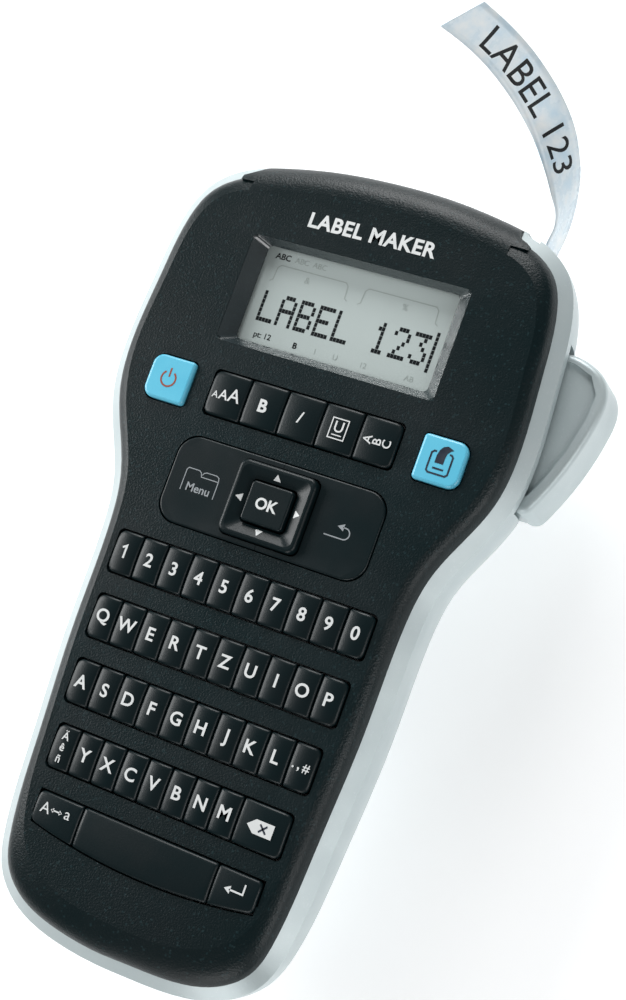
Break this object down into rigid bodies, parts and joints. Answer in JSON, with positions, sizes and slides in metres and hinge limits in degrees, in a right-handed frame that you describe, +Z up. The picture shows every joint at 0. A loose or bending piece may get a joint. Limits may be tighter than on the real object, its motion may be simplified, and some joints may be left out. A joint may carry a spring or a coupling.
{
  "type": "handheld label maker",
  "caption": "Handheld label maker: waisted body, black keypad face with display, silver back, side cutter lever and a printed label curling out of the top corner.",
  "frame": {"origin": "on the flat back, half way along the body", "axes": "+X to the cutter lever, +Y to the end where the label comes out, +Z up through the keys"},
  "size_m": [0.1236, 0.2439, 0.0712],
  "materials": {
    "black_shell": "fine-grained satin moulding",
    "silver_shell": "satin silver paint over moulded plastic",
    "blue_key": "satin translucent blue",
    "black_key": "satin",
    "clear_window": "clear polished",
    "display_glass": "grey-green reflective display",
    "grey_plastic": "matte moulding",
    "amber_film": "thin polyimide film",
    "grey_rubber": "matte silicone",
    "green_board": "solder resist",
    "steel": "bright steel",
    "motor_can": "plated steel can",
    "brass": "machined",
    "white_gear": "natural acetal",
    "black_rubber": "ground rubber",
    "cassette_case": "light grey moulding",
    "label_tape": "bluish white laminated tape",
    "ink_ribbon": "thermal transfer ribbon",
    "ceramic_head": "glazed ceramic",
    "cell_jacket": "printed sleeve",
    "black_plastic": "moulded"
  },
  "bodies": {
    "housing": {"battery_cells": "cell_jacket", "battery_contacts": "steel", "cassette_door_pins": "steel", "chassis_plate": "grey_plastic", "cutter_spring": "steel", "display_flex": "amber_film", "display_holder": "grey_plastic", "display_window": "clear_window", "drive_motor": "motor_can", "front_housing": "black_shell", "gear_axles": "steel", "housing_screws": "steel", "keypad_membrane": "grey_rubber", "lcd_panel": "display_glass", "lever_pivot_pin": "steel", "main_circuit_board": "green_board", "power_jack": "black_plastic", "print_head": "ceramic_head", "printed_label": "label_tape", "rear_housing": "silver_shell", "ribbon_spool": "ink_ribbon", "tape_cassette": "cassette_case", "tape_spool": "label_tape"},
    "power_button": {"power_button": "blue_key"},
    "print_button": {"print_button": "blue_key"},
    "size_key": {"size_key": "black_key"},
    "bold_key": {"bold_key": "black_key"},
    "italic_key": {"italic_key": "black_key"},
    "underline_key": {"underline_key": "black_key"},
    "vertical_key": {"vertical_key": "black_key"},
    "menu_key": {"menu_key": "black_key"},
    "back_key": {"back_key": "black_key"},
    "ok_button": {"ok_button": "black_key"},
    "number_keys": {"number_keys": "black_key"},
    "top_letter_keys": {"top_letter_keys": "black_key"},
    "middle_letter_keys": {"middle_letter_keys": "black_key"},
    "bottom_letter_keys": {"bottom_letter_keys": "black_key"},
    "accent_key": {"accent_key": "black_key"},
    "backspace_key": {"backspace_key": "black_key"},
    "caps_key": {"caps_key": "black_key"},
    "space_bar": {"space_bar": "black_key"},
    "enter_key": {"enter_key": "black_key"},
    "nav_frame": {"navigation_pivot": "black_plastic"},
    "nav_ring": {"navigation_ring": "black_key"},
    "lever": {"cutter_lever": "silver_shell"},
    "cutter": {"cutter_carrier": "grey_plastic", "cutter_blade": "steel"},
    "motor_rotor": {"motor_shaft": "steel", "motor_pinion": "brass"},
    "first_gear": {"first_reduction_gear": "white_gear"},
    "second_gear": {"second_reduction_gear": "white_gear"},
    "idler": {"idler_gear": "white_gear"},
    "feed": {"feed_gear": "white_gear", "feed_shaft": "steel", "feed_roller": "black_rubber"},
    "ribbon_drive": {"ribbon_drive_gear": "white_gear", "ribbon_spindle": "white_gear"},
    "tape_door": {"cassette_door": "silver_shell"},
    "cell_door": {"battery_door": "silver_shell"}
  },
  "joints": [
    {"name": "power_button_press", "type": "slide", "parent": "housing", "child": "power_button", "axis": [0, 0, -1], "range_m": [0, 0.0008], "stiffness_N_per_m": 350, "springref_m": -0.0008},
    {"name": "print_button_press", "type": "slide", "parent": "housing", "child": "print_button", "axis": [0, 0, -1], "range_m": [0, 0.0008], "stiffness_N_per_m": 350, "springref_m": -0.0008},
    {"name": "size_key_press", "type": "slide", "parent": "housing", "child": "size_key", "axis": [0, 0, -1], "range_m": [0, 0.0008], "stiffness_N_per_m": 350, "springref_m": -0.0008},
    {"name": "bold_key_press", "type": "slide", "parent": "housing", "child": "bold_key", "axis": [0, 0, -1], "range_m": [0, 0.0008], "stiffness_N_per_m": 350, "springref_m": -0.0008},
    {"name": "italic_key_press", "type": "slide", "parent": "housing", "child": "italic_key", "axis": [0, 0, -1], "range_m": [0, 0.0008], "stiffness_N_per_m": 350, "springref_m": -0.0008},
    {"name": "underline_key_press", "type": "slide", "parent": "housing", "child": "underline_key", "axis": [0, 0, -1], "range_m": [0, 0.0008], "stiffness_N_per_m": 350, "springref_m": -0.0008},
    {"name": "vertical_key_press", "type": "slide", "parent": "housing", "child": "vertical_key", "axis": [0, 0, -1], "range_m": [0, 0.0008], "stiffness_N_per_m": 350, "springref_m": -0.0008},
    {"name": "menu_key_press", "type": "slide", "parent": "housing", "child": "menu_key", "axis": [0, 0, -1], "range_m": [0, 0.0008], "stiffness_N_per_m": 350, "springref_m": -0.0008},
    {"name": "back_key_press", "type": "slide", "parent": "housing", "child": "back_key", "axis": [0, 0, -1], "range_m": [0, 0.0008], "stiffness_N_per_m": 350, "springref_m": -0.0008},
    {"name": "ok_button_press", "type": "slide", "parent": "housing", "child": "ok_button", "axis": [0, 0, -1], "range_m": [0, 0.0008], "stiffness_N_per_m": 350, "springref_m": -0.0008},
    {"name": "number_keys_press", "type": "slide", "parent": "housing", "child": "number_keys", "axis": [0, 0, -1], "range_m": [0, 0.0008], "stiffness_N_per_m": 900, "springref_m": -0.0008},
    {"name": "top_letter_keys_press", "type": "slide", "parent": "housing", "child": "top_letter_keys", "axis": [0, 0, -1], "range_m": [0, 0.0008], "stiffness_N_per_m": 900, "springref_m": -0.0008},
    {"name": "middle_letter_keys_press", "type": "slide", "parent": "housing", "child": "middle_letter_keys", "axis": [0, 0, -1], "range_m": [0, 0.0008], "stiffness_N_per_m": 900, "springref_m": -0.0008},
    {"name": "bottom_letter_keys_press", "type": "slide", "parent": "housing", "child": "bottom_letter_keys", "axis": [0, 0, -1], "range_m": [0, 0.0008], "stiffness_N_per_m": 900, "springref_m": -0.0008},
    {"name": "accent_key_press", "type": "slide", "parent": "housing", "child": "accent_key", "axis": [0, 0, -1], "range_m": [0, 0.0008], "stiffness_N_per_m": 350, "springref_m": -0.0008},
    {"name": "backspace_key_press", "type": "slide", "parent": "housing", "child": "backspace_key", "axis": [0, 0, -1], "range_m": [0, 0.0008], "stiffness_N_per_m": 350, "springref_m": -0.0008},
    {"name": "caps_key_press", "type": "slide", "parent": "housing", "child": "caps_key", "axis": [0, 0, -1], "range_m": [0, 0.0008], "stiffness_N_per_m": 350, "springref_m": -0.0008},
    {"name": "space_bar_press", "type": "slide", "parent": "housing", "child": "space_bar", "axis": [0, 0, -1], "range_m": [0, 0.0008], "stiffness_N_per_m": 900, "springref_m": -0.0008},
    {"name": "enter_key_press", "type": "slide", "parent": "housing", "child": "enter_key", "axis": [0, 0, -1], "range_m": [0, 0.0008], "stiffness_N_per_m": 350, "springref_m": -0.0008},
    {"name": "nav_tilt_x", "type": "hinge", "parent": "housing", "child": "nav_frame", "pos_m": [0.0002, 0.0131, 0.0434], "axis": [1, 0, 0], "range_deg": [-2.5, 2.5], "stiffness_Nm_per_rad": 0.08},
    {"name": "nav_tilt_y", "type": "hinge", "parent": "nav_frame", "child": "nav_ring", "pos_m": [0.0002, 0.0131, 0.0434], "axis": [0, 1, 0], "range_deg": [-2.5, 2.5], "stiffness_Nm_per_rad": 0.08},
    {"name": "cutter_lever_press", "type": "hinge", "parent": "housing", "child": "lever", "pos_m": [0.047, 0.0338, 0.0295], "axis": [0, 0, 1], "range_deg": [0, 8], "stiffness_Nm_per_rad": 0.35, "springref_deg": -3.44},
    {"name": "cutter_slide", "type": "slide", "parent": "housing", "child": "cutter", "axis": [-1, 0, 0], "range_m": [0, 0.0036], "deforming": ["cutter_spring"]},
    {"name": "first_gear_turn", "type": "hinge", "parent": "housing", "child": "first_gear", "pos_m": [-0.0174, 0.06289, 0.036], "axis": [0, 0, 1], "continuous": true},
    {"name": "motor_turn", "type": "hinge", "parent": "housing", "child": "motor_rotor", "pos_m": [-0.038, 0.06, 0.036], "axis": [0, 0, 1], "continuous": true},
    {"name": "second_gear_turn", "type": "hinge", "parent": "housing", "child": "second_gear", "pos_m": [0.00172, 0.06457, 0.036], "axis": [0, 0, 1], "continuous": true},
    {"name": "idler_turn", "type": "hinge", "parent": "housing", "child": "idler", "pos_m": [0.01333, 0.0778, 0.036], "axis": [0, 0, 1], "continuous": true},
    {"name": "feed_turn", "type": "hinge", "parent": "housing", "child": "feed", "pos_m": [0.034, 0.0755, 0.036], "axis": [0, 0, 1], "continuous": true},
    {"name": "ribbon_turn", "type": "hinge", "parent": "housing", "child": "ribbon_drive", "pos_m": [0.02099, 0.05675, 0.036], "axis": [0, 0, 1], "continuous": true},
    {"name": "tape_door_open", "type": "hinge", "parent": "housing", "child": "tape_door", "pos_m": [0.0015, 0.0215, 0.00125], "axis": [-1, 0, 0], "range_deg": [0, 100]},
    {"name": "cell_door_off", "type": "slide", "parent": "housing", "child": "cell_door", "axis": [0, 0, -1], "range_m": [0, 0.025]}
  ],
  "couplings": [
    {"joint": "motor_turn", "follows": "first_gear_turn", "ratio": -3.3333},
    {"joint": "second_gear_turn", "follows": "first_gear_turn", "ratio": -0.33333},
    {"joint": "idler_turn", "follows": "first_gear_turn", "ratio": 0.125},
    {"joint": "feed_turn", "follows": "first_gear_turn", "ratio": -0.2},
    {"joint": "ribbon_turn", "follows": "first_gear_turn", "ratio": -0.16667},
    {"joint": "cutter_slide", "follows": "cutter_lever_press", "m_per_rad": 0.025282}
  ]
}
